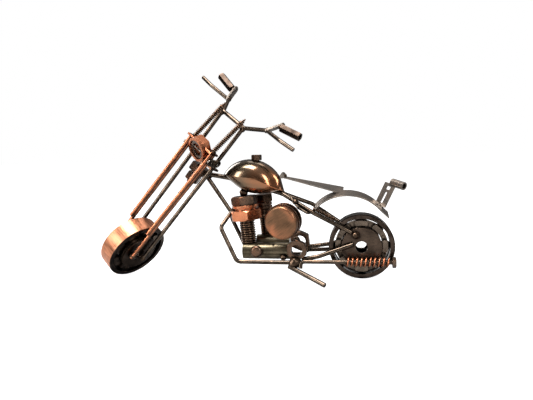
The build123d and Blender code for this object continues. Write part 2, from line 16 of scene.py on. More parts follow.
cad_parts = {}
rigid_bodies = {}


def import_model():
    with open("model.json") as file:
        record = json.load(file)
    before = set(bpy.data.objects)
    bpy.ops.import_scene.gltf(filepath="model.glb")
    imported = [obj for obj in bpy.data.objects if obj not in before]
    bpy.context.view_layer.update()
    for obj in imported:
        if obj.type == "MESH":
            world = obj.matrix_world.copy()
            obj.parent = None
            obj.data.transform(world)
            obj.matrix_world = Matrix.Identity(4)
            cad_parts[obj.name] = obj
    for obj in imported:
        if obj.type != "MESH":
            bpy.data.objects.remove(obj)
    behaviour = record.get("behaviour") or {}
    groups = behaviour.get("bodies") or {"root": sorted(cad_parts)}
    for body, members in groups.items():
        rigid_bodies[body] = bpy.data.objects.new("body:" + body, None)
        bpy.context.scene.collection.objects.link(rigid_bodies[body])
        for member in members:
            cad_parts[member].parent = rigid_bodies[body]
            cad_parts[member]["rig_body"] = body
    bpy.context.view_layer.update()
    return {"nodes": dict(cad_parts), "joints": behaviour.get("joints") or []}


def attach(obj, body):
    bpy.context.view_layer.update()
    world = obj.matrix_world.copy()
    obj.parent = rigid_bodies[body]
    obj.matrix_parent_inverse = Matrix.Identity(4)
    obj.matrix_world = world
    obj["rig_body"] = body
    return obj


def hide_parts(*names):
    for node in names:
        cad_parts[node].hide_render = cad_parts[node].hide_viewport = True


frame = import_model()
MM = 0.001

# %% [markdown]
# ## Two places to work from
# The bike's frame stands straight, but the fork rests steered to the left. Directions for the turned fork
# let a piece be described as forward, left and up along the steering axis. The joints in the packed
# record already say where that axis and the front axle are, so nothing is measured twice.

# %% Working planes
joint = {j["name"]: j for j in frame["joints"]}
steer_axis = Vector(joint["steering"]["axis"])
fork_side = Vector(joint["front_wheel_spin"]["axis"])
heading = fork_side.cross(steer_axis)
fork_origin = Vector(joint["steering"]["pos_m"])
front_hub = Vector(joint["front_wheel_spin"]["pos_m"])
REAR_HUB = Vector((0, 0, 0))
TO_THE_LEFT = Vector((0, -1, 0))


def standing_on(origin, up, towards=(1, 0, 0)):
    """A matrix whose z runs along up, and whose x leans towards the given direction."""
    z = Vector(up).normalized()
    x = (Vector(towards) - z * z.dot(Vector(towards))).normalized()
    turn = Matrix((x, z.cross(x), z)).transposed().to_4x4()
    return Matrix.Translation(origin) @ turn


def on_fork(forward, left, up):
    """A point given in millimetres ahead of, left of and up along the steering axis."""
    return fork_origin + (heading * forward + fork_side * left + steer_axis * up) * MM


rear_axle = standing_on(REAR_HUB, TO_THE_LEFT, (0, 0, 1))
front_axle = standing_on(front_hub, fork_side, steer_axis)
print("front hub, mm:", [round(v / MM, 1) for v in front_hub])

# %% [markdown]
# ## Building materials from small steps
# A material in Blender is a graph of nodes. One helper adds a node, sets what is given and links what is
# named, so each finish below reads from top to bottom. Colours are written as the sRGB hex values that a
# colour chart shows, and one function turns them into the linear light values that Blender mixes.

# %% Material helpers
def linear(hex_colour):
    """An sRGB hex colour as linear red, green, blue and alpha."""
    parts = [int(hex_colour[i:i + 2], 16) / 255 for i in (1, 3, 5)]
    light = [c / 12.92 if c <= 0.04045 else ((c + 0.055) / 1.055) ** 2.4 for c in parts]
    return (*light, 1.0)


def add_node(tree, kind, settings=None, **links):
    """Adds a node. Settings are its properties; links are values or sockets, by input name or _number."""
    node = tree.nodes.new(kind)
    for key, value in (settings or {}).items():
        setattr(node, key, value)
    for key, value in links.items():
        place = int(key[1:]) if key[1:].isdigit() else key.replace("_", " ")
        socket = node.inputs[place]
        if isinstance(value, bpy.types.NodeSocket):
            tree.links.new(value, socket)
        else:
            socket.default_value = value
    return node


def new_material(name):
    """An empty material and its node tree."""
    material = bpy.data.materials.new(name)
    material.use_nodes = True
    material.node_tree.nodes.clear()
    return material, material.node_tree


print("bronze mid tone in linear light:", [round(c, 3) for c in linear("#8C7B6C")])

# %% [markdown]
# ## One bath, many finishes
# The steel was copper plated, darkened in a sulphur bath, and buffed. The dark film stays in the hollows;
# the buff takes it off the edges and off the faces that it reached, where the copper comes back. So every
# finish is the same recipe with other amounts: a dark patina, a bronze middle and a rubbed copper. Four
# things say how far the buff went: soft blotches a few millimetres wide, fine scratches, sharp edges and
# hollows. A fifth term is painted light: faces turned towards one side are painted lighter and more copper,
# and faces turned away are painted darker. A bevel node finds the edges, where a rounded normal leaves the
# true one, and an ambient occlusion node finds the hollows, where little of the sky is seen.

# %% The rubbed plate recipe
# Painted light: the side of the lamps, above and towards the near side. Faces turned to it are painted lighter
# and more copper.
PAINTED_LIGHT_FROM = Vector((-0.30, -0.62, 0.72)).normalized()
FLAT, BENT = 0.985, 0.84              # cosine between true and rounded normal, from no edge to full edge
BURIED, OPEN = 0.25, 0.85             # share of the sky seen, from a full hollow to none
HOLLOW_SHARE = -0.9                   # how far a hollow holds the buff off
FILM_GONE_FROM, FILM_GONE_TO = -0.15, 0.60
BARE_FROM, BARE_TO = 0.40, 1.05
SCRATCH_DEPTH = 0.05 * MM


def rubbed_plate(name, patina, bronze, copper, rubbed=0.2, painted_light_share=0.3, blotch_share=0.9,
                 scratch_share=0.5, edge_share=0.6, scratch_mm=(0.5, 0.5, 0.5), along=None, gloss=(0.2, 0.36),
                 blotch_mm=7.0, relief=0.08, edge_mm=0.3, hollow_mm=1.6, painted_light_side=PAINTED_LIGHT_FROM):
    """Blackened copper plate on steel. rubbed is how far the buff went, from 0 to 1.

    scratch_mm is the size of a scratch along the three axes of the matrix along.
    """
    material, tree = new_material(name)
    sight = add_node(tree, "ShaderNodeTexCoord")
    place = sight.outputs["Object"]
    local = (along or Matrix.Identity(4)).inverted()
    lined_up = add_node(tree, "ShaderNodeMapping", Vector=place, Location=local.translation,
                        Rotation=local.to_euler()).outputs[0]
    fineness = [1 / (MM * size) for size in scratch_mm]
    stretched = add_node(tree, "ShaderNodeMapping", Vector=lined_up, Scale=fineness)
    scratches = add_node(tree, "ShaderNodeTexNoise", Vector=stretched.outputs[0], Scale=1.0, Detail=3.0,
                         Roughness=0.6).outputs["Fac"]
    blotches = add_node(tree, "ShaderNodeTexNoise", Vector=place, Scale=1 / (MM * blotch_mm), Detail=2.0,
                        Roughness=0.45, Distortion=0.3).outputs["Fac"]
    # Painted light and shade: a face turned towards the given side is painted lighter and more copper, as a
    # painted highlight, and a face turned away is painted darker. This term is added to the real wear of the
    # buff below.
    painted_light_facing = add_node(tree, "ShaderNodeVectorMath", {"operation": "DOT_PRODUCT"}, _0=sight.outputs["Normal"],
                     _1=painted_light_side).outputs["Value"]
    wear_and_painted_light = add_node(tree, "ShaderNodeMath", {"operation": "MULTIPLY_ADD"}, _0=painted_light_facing, _1=painted_light_share,
                     _2=rubbed - 0.5 * blotch_share - 0.5 * scratch_share)
    wear_and_painted_light = add_node(tree, "ShaderNodeMath", {"operation": "MULTIPLY_ADD"}, _0=blotches, _1=blotch_share,
                     _2=wear_and_painted_light.outputs[0])
    wear_and_painted_light = add_node(tree, "ShaderNodeMath", {"operation": "MULTIPLY_ADD"}, _0=scratches, _1=scratch_share,
                     _2=wear_and_painted_light.outputs[0]).outputs[0]
    rounded = add_node(tree, "ShaderNodeBevel", {"samples": 4}, Radius=edge_mm * MM).outputs[0]
    square = add_node(tree, "ShaderNodeNewGeometry").outputs["True Normal"]
    kept = add_node(tree, "ShaderNodeVectorMath", {"operation": "DOT_PRODUCT"}, _0=square, _1=rounded)
    edge = add_node(tree, "ShaderNodeMapRange", {"interpolation_type": "SMOOTHSTEP"},
                    Value=kept.outputs["Value"], From_Min=FLAT, From_Max=BENT, To_Min=0.0, To_Max=edge_share)
    open_sky = add_node(tree, "ShaderNodeAmbientOcclusion", {"samples": 4}, Distance=hollow_mm * MM)
    hollow = add_node(tree, "ShaderNodeMapRange", Value=open_sky.outputs["AO"], From_Min=BURIED, From_Max=OPEN,
                      To_Min=HOLLOW_SHARE, To_Max=0.0)
    wear_and_painted_light = add_node(tree, "ShaderNodeMath", {"operation": "ADD"}, _0=wear_and_painted_light, _1=hollow.outputs[0]).outputs[0]
    # The patina, bronze and copper below follow the real wear and the painted light together.
    film_worn_and_lit = add_node(tree, "ShaderNodeMapRange", {"interpolation_type": "SMOOTHSTEP"}, Value=wear_and_painted_light,
                    From_Min=FILM_GONE_FROM, From_Max=FILM_GONE_TO)
    bare_and_lit = add_node(tree, "ShaderNodeMapRange", {"interpolation_type": "SMOOTHSTEP"}, Value=wear_and_painted_light,
                    From_Min=BARE_FROM, From_Max=BARE_TO)
    bare_and_lit = add_node(tree, "ShaderNodeMath", {"operation": "ADD", "use_clamp": True}, _0=bare_and_lit.outputs[0],
                    _1=edge.outputs[0])
    darkened = add_node(tree, "ShaderNodeMix", {"data_type": "RGBA"}, Factor=film_worn_and_lit.outputs[0],
                        _6=linear(patina), _7=linear(bronze))
    plate = add_node(tree, "ShaderNodeMix", {"data_type": "RGBA"}, Factor=bare_and_lit.outputs[0],
                     _6=darkened.outputs[2], _7=linear(copper))
    rough = add_node(tree, "ShaderNodeMapRange", Value=scratches, From_Min=0.25, From_Max=0.75,
                     To_Min=gloss[0], To_Max=gloss[1])
    bump = add_node(tree, "ShaderNodeBump", Strength=relief, Distance=SCRATCH_DEPTH, Height=scratches)
    metal = add_node(tree, "ShaderNodeBsdfPrincipled", Base_Color=plate.outputs[2], Metallic=1.0,
                     Roughness=rough.outputs[0], Normal=bump.outputs[0])
    add_node(tree, "ShaderNodeOutputMaterial", Surface=metal.outputs[0])
    return material


# In each finish below, the share given for the side that faces the lamps is painted light: that side is
# painted lighter and more copper.
COARSE = (1.5, 1.5, 1.5)    # mm, the scuffs on stock that was tumbled and not brushed
# Drawn wire: smooth and dark, lightly buffed, with the side that faces the lamps painted lighter as a painted
# highlight.
drawn_wire = rubbed_plate("blackened_plate_on_drawn_wire", "#1A1410", "#6E6053", "#BE9070", rubbed=0.12,
                          painted_light_share=0.36, scratch_share=0.2, scratch_mm=COARSE, edge_share=0.25,
                          gloss=(0.15, 0.27), relief=0.03)
# Copper-rubbed wire: the front of the fork was held against the buff for longer.
rubbed_wire = rubbed_plate("copper_rubbed_plate_on_drawn_wire", "#24150F", "#7C5642", "#D9865F", rubbed=0.48,
                           painted_light_share=0.60, scratch_share=0.25, scratch_mm=COARSE, edge_share=0.5,
                           gloss=(0.18, 0.32), relief=0.04)
# Cut hex stock: dark faces, and corners rubbed to a dull red copper.
cut_hex = rubbed_plate("blackened_plate_on_cut_hex_stock", "#1C1410", "#6F5A4B", "#BC7A56", rubbed=0.20,
                       painted_light_share=0.36, edge_share=0.8, gloss=(0.2, 0.36))
# Rolled thread: the film sits in the roots, and the crests shine.
rolled_thread = rubbed_plate("blackened_plate_on_rolled_thread", "#1A120E", "#75614F", "#B58466", rubbed=0.15,
                             painted_light_share=0.35, scratch_share=0.25, scratch_mm=COARSE, edge_share=0.45,
                             gloss=(0.18, 0.34), blotch_mm=5.0, relief=0.04)
# The grips are hex stock with a drilled end. The buff hardly reached them, so only their rims shine.
dark_grip = rubbed_plate("black_bronze_plate_on_cut_tube", "#150F0C", "#4E4138", "#9C765C", rubbed=0.08,
                         painted_light_share=0.22, scratch_share=0.2, scratch_mm=COARSE, edge_share=0.7,
                         gloss=(0.22, 0.38), relief=0.03)
# Buffed copper: the brightest pieces, which the buff has gone over most.
buffed_copper = rubbed_plate("buffed_copper_plate_on_turned_steel", "#2C1811", "#8A5840", "#DE8E66",
                             rubbed=0.78, painted_light_share=0.30, edge_share=0.9, gloss=(0.18, 0.32))
# Pressed sheet stays greyer, because the film lay evenly on its broad faces.
pressed_sheet = rubbed_plate("grey_bronze_plate_on_pressed_sheet", "#1F1B18", "#827B74", "#AD9988",
                             rubbed=0.38, painted_light_share=0.30, edge_share=0.5, gloss=(0.22, 0.38),
                             blotch_mm=10.0)
# The tank was polished before it was plated, so it is glossy and its blotches are broad and faint. The faces
# turned back, towards the tail and the near side, are painted copper as a painted reflection.
PAINTED_REFLECTION_FROM_BEHIND = Vector((0.75, -0.60, -0.25)).normalized()
polished_dome = rubbed_plate("polished_bronze_plate_on_pressed_dome", "#17110D", "#776957", "#C47E56",
                             rubbed=0.36, painted_light_share=0.50, blotch_share=0.7, scratch_share=0.12,
                             edge_share=0.3, gloss=(0.14, 0.23), blotch_mm=14.0, relief=0.02,
                             painted_light_side=PAINTED_REFLECTION_FROM_BEHIND)
# Ground bearing steel takes the plate evenly and stays nearly black.
ground_ring = rubbed_plate("black_bronze_plate_on_ground_bearing_steel", "#17110E", "#5D5047", "#8E7867",
                           rubbed=0.10, painted_light_share=0.25, edge_share=0.7, gloss=(0.16, 0.3))
# The pressed ball cage catches the light on its flat pocket tops.
pressed_cage = rubbed_plate("worn_bronze_plate_on_pressed_cage", "#1B1411", "#74675B", "#A08D7C", rubbed=0.30,
                            painted_light_share=0.3, edge_share=0.6, gloss=(0.2, 0.36), blotch_mm=5.0)
# Weld metal is rough and drawn into ripples, and only its crests are bright.
weld_metal = rubbed_plate("dark_bronze_plate_on_weld_metal", "#17100C", "#655344", "#A57F66", rubbed=0.12,
                          painted_light_share=0.4, scratch_share=0.7, edge_share=0.2, gloss=(0.18, 0.4), relief=0.25)
# Thick tube keeps an olive cast, as brass-rich plate does under a thick film.
plated_tube = rubbed_plate("olive_bronze_plate_on_thick_tube", "#1B1712", "#6C6350", "#98866C", rubbed=0.34,
                           painted_light_share=0.25, edge_share=0.6, gloss=(0.24, 0.4), blotch_mm=9.0)
print("plated finishes:", len(bpy.data.materials))

# %% [markdown]
# ## Brushed faces
# Three places show long, even lines: the front tyre, which was spun against an abrasive belt so that its
# lines run across the tread, the cover of the air cleaner, brushed on the slant, and the hub washers. The
# recipe is the same with stretched scratches. Real lines are too fine to show at this distance, so they
# are drawn 0.3 to 0.4 mm wide.

# %% Brushed finishes
COVER_CENTRE = Vector((-57.0, -20.0, 18.9)) * MM
COVER_FACING = Vector((-0.25, -0.955, -0.13))
brushed_tread = rubbed_plate("copper_plate_belt_brushed_across_the_tread", "#2E1A12", "#94593F", "#E29A74",
                             rubbed=0.72, painted_light_share=0.25, blotch_share=0.9, scratch_share=2.4,
                             edge_share=0.5, scratch_mm=(0.4, 0.4, 9.0), along=front_axle,
                             gloss=(0.26, 0.46), relief=0.5)
slanted_brush = standing_on(COVER_CENTRE, COVER_FACING, (0.8, 0, 0.6))
brushed_cover = rubbed_plate("copper_plate_brushed_on_the_slant", "#23160F", "#806048", "#D88760", rubbed=0.55,
                             painted_light_share=0.10, blotch_share=1.4, scratch_share=0.9, edge_share=0.6,
                             scratch_mm=(9.0, 0.3, 0.3), along=slanted_brush, gloss=(0.24, 0.38),
                             blotch_mm=16.0, relief=0.15)
brushed_washer = rubbed_plate("dark_bronze_plate_on_brushed_washer", "#17110E", "#5F5045", "#8E7460",
                              rubbed=0.22, painted_light_share=0.15, blotch_share=0.8, scratch_share=0.5,
                              edge_share=0.7, scratch_mm=(0.35, 6.0, 0.35), along=rear_axle,
                              gloss=(0.2, 0.36), relief=0.12)
print("brushed finishes added:", len(bpy.data.materials))

# %% [markdown]
# ## Taking a solid over from CAD
# A CAD node arrives as loose flat triangles. A copy is welded into one skin, its hard edges are marked
# where faces meet at more than thirty degrees, and the rest is shaded smooth. A small bevel then breaks
# each hard edge, as tumbling and plating do on the real thing, so that edges catch a line of light.

# %% Pieces from CAD solids
SHARP_TURN = radians(30)


def settle(piece, body, *nodes):
    """Puts a finished piece in the scene, on its body, in place of the CAD nodes that it stands for."""
    bpy.context.scene.collection.objects.link(piece)
    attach(piece, body)
    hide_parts(*nodes)
    return piece


def welded_copy(node):
    """One closed, smooth-shaded skin from a CAD node's loose triangles."""
    mesh = frame["nodes"][node].data.copy()
    if "custom_normal" in mesh.attributes:
        mesh.attributes.remove(mesh.attributes["custom_normal"])
    skin = bmesh.new()
    skin.from_mesh(mesh)
    bmesh.ops.remove_doubles(skin, verts=skin.verts, dist=0.002 * MM)
    bmesh.ops.dissolve_limit(skin, angle_limit=radians(0.4), verts=skin.verts, edges=skin.edges)
    for face in skin.faces:
        face.smooth = True
    for line in skin.edges:
        line.smooth = len(line.link_faces) == 2 and line.calc_face_angle(0) < SHARP_TURN
    skin.to_mesh(mesh)
    skin.free()
    mesh.materials.clear()
    return mesh


def break_edges(piece, width_mm):
    """A small rounding on every hard edge."""
    rounding = piece.modifiers.new("broken edges", "BEVEL")
    rounding.width = width_mm * MM
    rounding.segments = 2
    rounding.limit_method = "ANGLE"
    rounding.angle_limit = SHARP_TURN
    rounding.harden_normals = True


def take_over(node, name, material, edge_mm=0.15):
    """Stands a refined copy in a CAD node's place."""
    mesh = welded_copy(node)
    mesh.name = name
    mesh.materials.append(material)
    piece = bpy.data.objects.new(name, mesh)
    if edge_mm:
        break_edges(piece, edge_mm)
    return settle(piece, frame["nodes"][node]["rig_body"], node)


# %% Wires, nuts and sheet
AS_WIRE = ["down_tube", "backbone_wires", "lower_rails", "chain_stays", "fender_strut", "left_exhaust_rod",
           "right_exhaust_rod", "kickstand", "rear_fork_legs", "handlebar", "left_lever", "right_lever"]
AS_CUT_HEX = ["fuel_cap", "drive_nuts", "neck_nut", "lock_nut", "stem_bolt", "crankcase_rivet",
              "air_cleaner_base", "air_cleaner_ring", "stem_bridge", "rear_cylinder_washers"]
AS_SHEET = ["fender", "seat_plate", "sissy_strap", "tank_seam_plate", "crown_links", "bar_end_links",
            "headlamp_washer"]
FINISH_OF = {drawn_wire: AS_WIRE, cut_hex: AS_CUT_HEX, pressed_sheet: AS_SHEET,
             rubbed_wire: ["front_fork_legs", "fork_sleeves", "crown_plate"],
             buffed_copper: ["front_cylinder_nut", "front_cylinder_washers", "headlamp_nut"],
             brushed_cover: ["air_cleaner_cover"],
             plated_tube: ["crankcase", "gearbox"],
             dark_grip: ["left_grip", "right_grip"],
             brushed_washer: ["rear_hub_washers", "front_hub_washers"],
             ground_ring: ["rear_outer_ring", "rear_inner_ring", "front_inner_ring"],
             pressed_cage: ["rear_cage", "front_cage"]}
for finish, names in FINISH_OF.items():
    for node in names:
        take_over(node, f"{node}_plated", finish)
print("carried over:", sum(len(names) for names in FINISH_OF.values()))

# %% [markdown]
# ## The front tyre: one ring, two finishes
# Only the tread met the belt; the ring's sides stayed dark. The ring is one piece, and each of its faces
# gets a finish by how far from the axle it lies and which way it looks.

# %% Front tyre
TREAD_FROM_R = 23.2 * 0.97 * MM
LEVEL = 0.5                           # a face tilted further than this towards the axle is on the side
tyre = take_over("front_outer_ring", "front_tyre_ring", ground_ring, edge_mm=0.2)
tyre.data.materials.append(brushed_tread)
to_hub = front_axle.inverted()
for face in tyre.data.polygons:
    at = to_hub @ face.center
    looks = to_hub.to_3x3() @ face.normal
    if Vector(at.xy).length > TREAD_FROM_R and abs(looks.z) < LEVEL:
        face.material_index = 1
print("tread faces:", sum(face.material_index for face in tyre.data.polygons))

# %% [markdown]
# ## Growing shapes with Geometry Nodes
# Threads, springs, balls and weld beads all follow a rule, so each is a node tree that takes its sizes as
# inputs. One function makes a tree with named inputs, and another runs a tree once and keeps its result
# as a plain mesh, so that the finished piece holds no live modifier.

# %% Tree helpers
SOCKET_OF = {float: "NodeSocketFloat", int: "NodeSocketInt", bool: "NodeSocketBool"}


def new_tree(name, **inputs):
    """A geometry tree with one named input for each size; returns it with its input node's outputs."""
    tree = bpy.data.node_groups.new(name, "GeometryNodeTree")
    tree.interface.new_socket("Geometry", in_out="INPUT", socket_type="NodeSocketGeometry")
    for label, value in inputs.items():
        kind = SOCKET_OF[type(value)]
        tree.interface.new_socket(label.replace("_", " "), in_out="INPUT", socket_type=kind)
    tree.interface.new_socket("Finish", in_out="INPUT", socket_type="NodeSocketMaterial")
    tree.interface.new_socket("Geometry", in_out="OUTPUT", socket_type="NodeSocketGeometry")
    return tree, tree.nodes.new("NodeGroupInput").outputs


def close_tree(tree, sizes, *shapes):
    """Joins the shapes, makes instances real, sets the finish and ends the tree."""
    gathered = tree.nodes.new("GeometryNodeJoinGeometry")
    for shape in shapes:
        tree.links.new(shape, gathered.inputs[0])
    real = add_node(tree, "GeometryNodeRealizeInstances", Geometry=gathered.outputs[0])
    smooth = add_node(tree, "GeometryNodeSetShadeSmooth", _0=real.outputs[0])
    painted = add_node(tree, "GeometryNodeSetMaterial", Geometry=smooth.outputs[0], Material=sizes["Finish"])
    add_node(tree, "NodeGroupOutput", Geometry=painted.outputs[0])
    return tree


def grown(tree, finish, seed_mesh=None, **values):
    """Runs a tree once with the given inputs and returns the mesh that it makes."""
    carrier = bpy.data.objects.new("carrier", seed_mesh or bpy.data.meshes.new("carrier"))
    bpy.context.scene.collection.objects.link(carrier)
    modifier = carrier.modifiers.new("grow", "NODES")
    modifier.node_group = tree
    values = {label.replace("_", " "): value for label, value in values.items()} | {"Finish": finish}
    for socket in tree.interface.items_tree:
        if socket.in_out == "INPUT" and socket.name in values:
            modifier[socket.identifier] = values[socket.name]
    settled = carrier.evaluated_get(bpy.context.evaluated_depsgraph_get())
    mesh = bpy.data.meshes.new_from_object(settled)
    bpy.data.objects.remove(carrier)
    return mesh


def joined(name, finish, *meshes):
    """One object from several meshes that share a finish."""
    skin = bmesh.new()
    for mesh in meshes:
        skin.from_mesh(mesh)
    whole = bpy.data.meshes.new(name)
    skin.to_mesh(whole)
    skin.free()
    whole.materials.append(finish)
    return bpy.data.objects.new(name, whole)


print("sockets by kind of value:", SOCKET_OF)

# %% [markdown]
# ## Threads
# A rolled thread is a ridge that winds along a bar. The tree sweeps a six-sided ridge along a spiral over
# a plain core. A pointed tip is a second spiral that narrows over a cone. The engine's cylinders are an M12
# and an M10 bolt, the fork carries two pointed 4 mm screws, and a 3 mm threaded rod stays the fender.

# %% Thread tree
CORE_DEPTH, CREST_DEPTH, RIDGE_SIZE = -0.58, -0.30, 0.30    # shares of the pitch
thread_tree, size = new_tree("wound thread", Radius=1.0, Pitch=1.0, Length=1.0, Tip=1.0)
root = add_node(thread_tree, "ShaderNodeMath", {"operation": "MULTIPLY_ADD"}, _0=size["Pitch"],
                _1=CORE_DEPTH, _2=size["Radius"]).outputs[0]
crest = add_node(thread_tree, "ShaderNodeMath", {"operation": "MULTIPLY_ADD"}, _0=size["Pitch"],
                 _1=CREST_DEPTH, _2=size["Radius"]).outputs[0]
turns = add_node(thread_tree, "ShaderNodeMath", {"operation": "DIVIDE"}, _0=size["Length"], _1=size["Pitch"])
ridge_r = add_node(thread_tree, "ShaderNodeMath", {"operation": "MULTIPLY"}, _0=size["Pitch"], _1=RIDGE_SIZE)
ridge = add_node(thread_tree, "GeometryNodeCurvePrimitiveCircle", Resolution=6, Radius=ridge_r.outputs[0])
wound = add_node(thread_tree, "GeometryNodeCurveSpiral", Resolution=40, Rotations=turns.outputs[0],
                 Start_Radius=crest, End_Radius=crest, Height=size["Length"])
winding = add_node(thread_tree, "GeometryNodeCurveToMesh", Curve=wound.outputs[0],
                   Profile_Curve=ridge.outputs[0], Fill_Caps=True)
half = add_node(thread_tree, "ShaderNodeMath", {"operation": "MULTIPLY"}, _0=size["Length"], _1=0.5)
middle = add_node(thread_tree, "ShaderNodeCombineXYZ", Z=half.outputs[0])
bar = add_node(thread_tree, "GeometryNodeMeshCylinder", Vertices=40, Radius=root, Depth=size["Length"])
core = add_node(thread_tree, "GeometryNodeTransform", Geometry=bar.outputs[0], Translation=middle.outputs[0])
end = add_node(thread_tree, "ShaderNodeCombineXYZ", Z=size["Length"]).outputs[0]
tip_turns = add_node(thread_tree, "ShaderNodeMath", {"operation": "DIVIDE"}, _0=size["Tip"], _1=size["Pitch"])
narrow = add_node(thread_tree, "GeometryNodeCurveSpiral", Resolution=40, Rotations=tip_turns.outputs[0],
                  Start_Radius=crest, End_Radius=0.0, Height=size["Tip"])
tip_winding = add_node(thread_tree, "GeometryNodeCurveToMesh", Curve=narrow.outputs[0],
                       Profile_Curve=ridge.outputs[0], Fill_Caps=True)
cone = add_node(thread_tree, "GeometryNodeMeshCone", Vertices=40, Radius_Top=0.0, Radius_Bottom=root,
                Depth=size["Tip"])
both = thread_tree.nodes.new("GeometryNodeJoinGeometry")
for part in (tip_winding, cone):
    thread_tree.links.new(part.outputs[0], both.inputs[0])
point = add_node(thread_tree, "GeometryNodeTransform", Geometry=both.outputs[0], Translation=end)
has_tip = add_node(thread_tree, "FunctionNodeCompare", {"operation": "GREATER_THAN"}, _0=size["Tip"], _1=0.0)
pointed = add_node(thread_tree, "GeometryNodeSwitch", {"input_type": "GEOMETRY"}, _0=has_tip.outputs[0],
                   _2=point.outputs[0])
close_tree(thread_tree, size, winding.outputs[0], core.outputs[0], pointed.outputs[0])


def threaded(plane, radius, pitch, length, tip=0.0):
    """A threaded bar that stands on a plane, with sizes in millimetres."""
    mesh = grown(thread_tree, rolled_thread, Radius=radius * MM, Pitch=pitch * MM, Length=length * MM,
                 Tip=tip * MM)
    mesh.transform(plane)
    return mesh


print("thread tree nodes:", len(thread_tree.nodes))

# %% [markdown]
# ## The cylinders
# Each cylinder is a bolt: its head is the rocker cover and its thread makes the cooling fins. The head
# keeps the CAD shape, because its turned-off corners leave the curved lines of a real hexagon. It is cut
# from the CAD bolt by a plane, the cut is closed, and the wound thread goes below.

# %% Cylinder bolts
CYLINDER_LEAN = radians(5)
CYLINDER_UP = Vector((-sin(CYLINDER_LEAN), 0, cos(CYLINDER_LEAN)))
CUT_ABOVE = 0.02 * MM                 # clear of the head's own underside


def cut_off_below(mesh, origin, up):
    """Keeps what is above a plane, and closes the cut."""
    skin = bmesh.new()
    skin.from_mesh(mesh)
    everything = skin.verts[:] + skin.edges[:] + skin.faces[:]
    cut = bmesh.ops.bisect_plane(skin, geom=everything, plane_co=origin, plane_no=up, clear_inner=True)
    rim = [item for item in cut["geom_cut"] if isinstance(item, bmesh.types.BMEdge)]
    bmesh.ops.contextual_create(skin, geom=rim)
    skin.to_mesh(mesh)
    skin.free()
    return mesh


def cylinder_bolt(node, base_mm, radius, pitch, length):
    """A bolt whose shank is wound thread and whose head is the CAD one."""
    foot = Vector(base_mm) * MM
    plane = standing_on(foot, CYLINDER_UP, (0, 1, 0))
    head = cut_off_below(welded_copy(node), foot + CYLINDER_UP * (length * MM + CUT_ABOVE), CYLINDER_UP)
    head.name = f"{node}_head"
    head.materials.append(cut_hex)
    bolt_head = bpy.data.objects.new(f"{node}_head", head)
    break_edges(bolt_head, 0.25)
    settle(bolt_head, "frame", node)
    shank = joined(f"{node}_thread", rolled_thread, threaded(plane, radius, pitch, length))
    return settle(shank, "frame", node)


cylinder_bolt("front_cylinder_bolt", (-83.9, 0, 1.4), 6.0, 1.75, 29.2)
cylinder_bolt("rear_cylinder_bolt", (-72.5, 15.4, 4.4), 5.0, 1.5, 26.6)

# %% Fork screws and threaded stay
SCREW_TIP_MM = 4.0
screws = []
for side in (1, -1):
    foot = on_fork(13.0, side * 11.1, 23.2)
    tip = on_fork(4.7, side * 11.8, 55.8)
    run = (tip - foot).length / MM
    screws.append(threaded(standing_on(foot, tip - foot), 2.0, 1.45, run - SCREW_TIP_MM, SCREW_TIP_MM))
settle(joined("fork_screw_pair", rolled_thread, *screws), "fork", "fork_screws")
stay_plane = standing_on(Vector((-34.5, -4.6, 27.6)) * MM, (16.5, -1.0, -8.6))
stay_rod = joined("fender_stay_rod", rolled_thread, threaded(stay_plane, 1.5, 0.9, 17.5))
settle(stay_rod, "frame", "threaded_stay")
print("screw length, mm:", round(run, 1))

# %% [markdown]
# ## The spring on the exhaust
# A compression spring is wire wound at a steady pitch. The tree sweeps a round wire along a spiral, and
# both ends are closed.

# %% Spring
SPRING_START = Vector((-11.4, -14.0, -9.4)) * MM
coil_tree, size = new_tree("wound spring", Coil_Radius=1.0, Wire_Radius=1.0, Pitch=1.0, Turns=1.0)
rise = add_node(coil_tree, "ShaderNodeMath", {"operation": "MULTIPLY"}, _0=size["Pitch"], _1=size["Turns"])
path = add_node(coil_tree, "GeometryNodeCurveSpiral", Resolution=48, Rotations=size["Turns"],
                Start_Radius=size["Coil Radius"], End_Radius=size["Coil Radius"], Height=rise.outputs[0])
wire = add_node(coil_tree, "GeometryNodeCurvePrimitiveCircle", Resolution=14, Radius=size["Wire Radius"])
coil = add_node(coil_tree, "GeometryNodeCurveToMesh", Curve=path.outputs[0], Profile_Curve=wire.outputs[0],
                Fill_Caps=True)
close_tree(coil_tree, size, coil.outputs[0])
coil_mesh = grown(coil_tree, rubbed_wire, Coil_Radius=3.15 * MM, Wire_Radius=0.62 * MM, Pitch=3.05 * MM,
                  Turns=10.0)
coil_mesh.transform(standing_on(SPRING_START, (1, 0, 0), (0, 1, 0)))
settle(joined("exhaust_spring", rubbed_wire, coil_mesh), "frame", "left_exhaust_spring")
print("spring faces:", len(coil_mesh.polygons))

# %% [markdown]
# ## Bearing balls
# Eight balls stand evenly on one circle, so one ball is placed on each point of a circle. They ride with
# the cage and don't roll.

# %% Balls
ball_tree, size = new_tree("ring of balls", Ring_Radius=1.0, Ball_Radius=1.0, Balls=8)
ring = add_node(ball_tree, "GeometryNodeMeshCircle", Vertices=size["Balls"], Radius=size["Ring Radius"])
ball = add_node(ball_tree, "GeometryNodeMeshIcoSphere", Radius=size["Ball Radius"], Subdivisions=5)
set_round = add_node(ball_tree, "GeometryNodeInstanceOnPoints", Points=ring.outputs[0],
                     Instance=ball.outputs[0])
close_tree(ball_tree, size, set_round.outputs[0])
